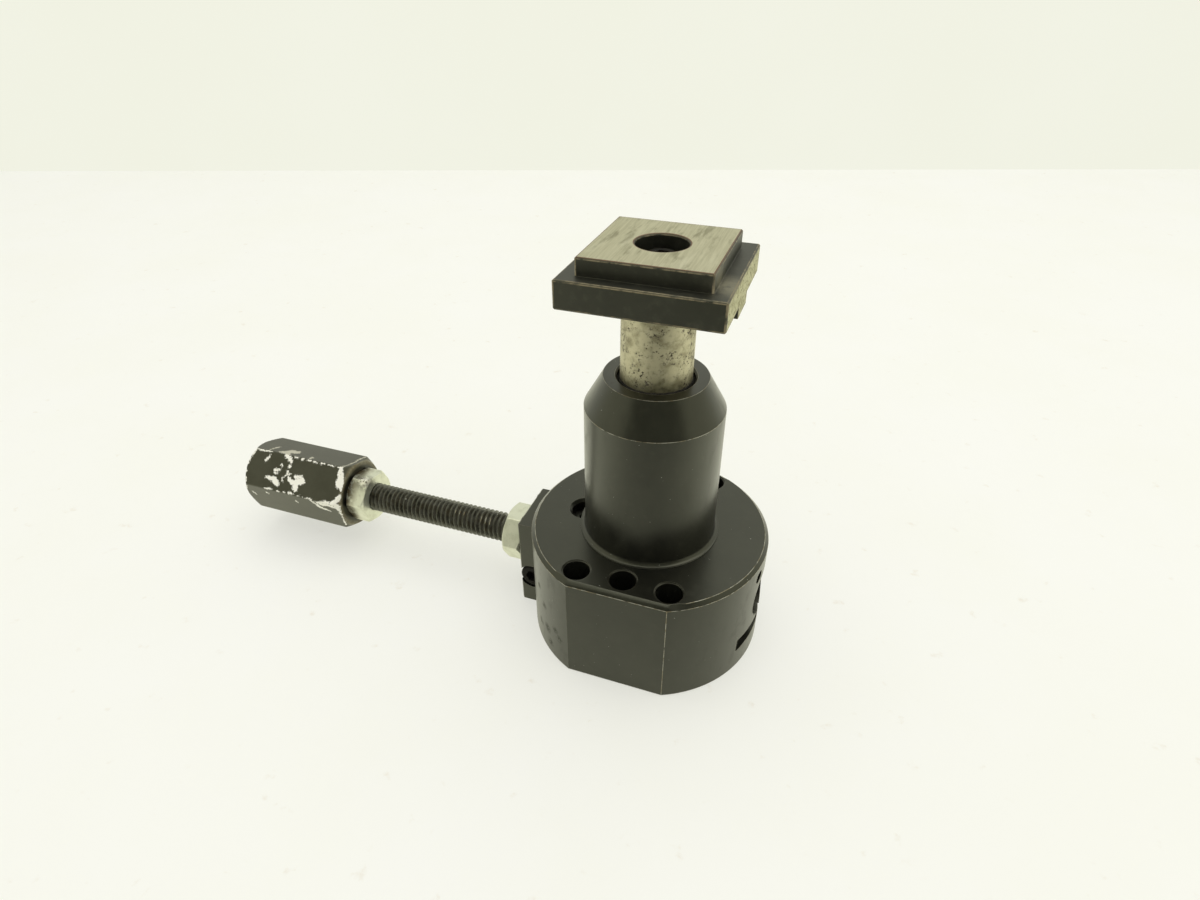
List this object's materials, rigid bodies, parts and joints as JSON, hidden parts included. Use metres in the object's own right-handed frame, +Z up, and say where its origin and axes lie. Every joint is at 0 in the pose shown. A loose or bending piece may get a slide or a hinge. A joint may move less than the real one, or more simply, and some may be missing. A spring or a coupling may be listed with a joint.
{
  "type": "adjustable work support",
  "caption": "Work support with a spring-raised plunger under a square rest pad, guided in a round base and locked by a long hand screw.",
  "frame": {"origin": "centre of the base's underside, on the plunger's axis", "axes": "+Z up along the plunger, -X along the lock screw towards its handle, -Y out of the base's flat"},
  "size_m": [0.1781, 0.067, 0.1199],
  "materials": {
    "black_oxide_steel": "black oxide, satin, worn bright on the edges",
    "ground_steel": "ground steel with light rust",
    "pad_steel": "ground bright on top and sides, black oxide on the ledges",
    "zinc_plated_steel": "dull zinc plating",
    "painted_steel": "black gloss paint, chipped to white primer and bare steel",
    "spring_steel": "oiled spring wire",
    "bronze": "turned bearing bronze",
    "black_rubber": "moulded, matt"
  },
  "bodies": {
    "base": {"base_block": "black_oxide_steel", "tower": "black_oxide_steel", "tower_screws": "black_oxide_steel", "guide_bush": "bronze", "wiper_seal": "black_rubber", "plunger_spring": "spring_steel", "bottom_cover": "black_oxide_steel", "bottom_cover_screws": "black_oxide_steel", "guide_pin": "ground_steel", "guide_pin_plug": "black_oxide_steel", "lock_block": "black_oxide_steel", "block_screws": "black_oxide_steel", "pinch_screw": "black_oxide_steel", "shoe_key_screw": "black_oxide_steel", "reaction_shoe": "ground_steel", "backing_plug": "black_oxide_steel"},
    "plunger": {"plunger": "ground_steel", "rest_pad": "pad_steel", "pad_screw": "black_oxide_steel"},
    "shoe": {"drive_shoe": "ground_steel"},
    "lock_screw": {"lock_rod": "black_oxide_steel", "near_lock_nut": "zinc_plated_steel", "far_lock_nut": "zinc_plated_steel", "hex_handle": "painted_steel"}
  },
  "joints": [
    {"name": "plunger_slide", "type": "slide", "parent": "base", "child": "plunger", "axis": [0, 0, 1], "range_m": [-0.01, 0], "stiffness_N_per_m": 2200, "springref_m": 0.005, "deforming": ["plunger_spring"]},
    {"name": "shoe_slide", "type": "slide", "parent": "base", "child": "shoe", "axis": [-1, 0, 0], "range_m": [0, 0.00317]},
    {"name": "lock_screw_turn", "type": "hinge", "parent": "shoe", "child": "lock_screw", "pos_m": [-0.04, 0, 0.0196], "axis": [-1, 0, 0], "range_deg": [0, 720]}
  ],
  "couplings": [
    {"joint": "lock_screw_turn", "follows": "shoe_slide", "rad_per_m": 3957.9}
  ]
}
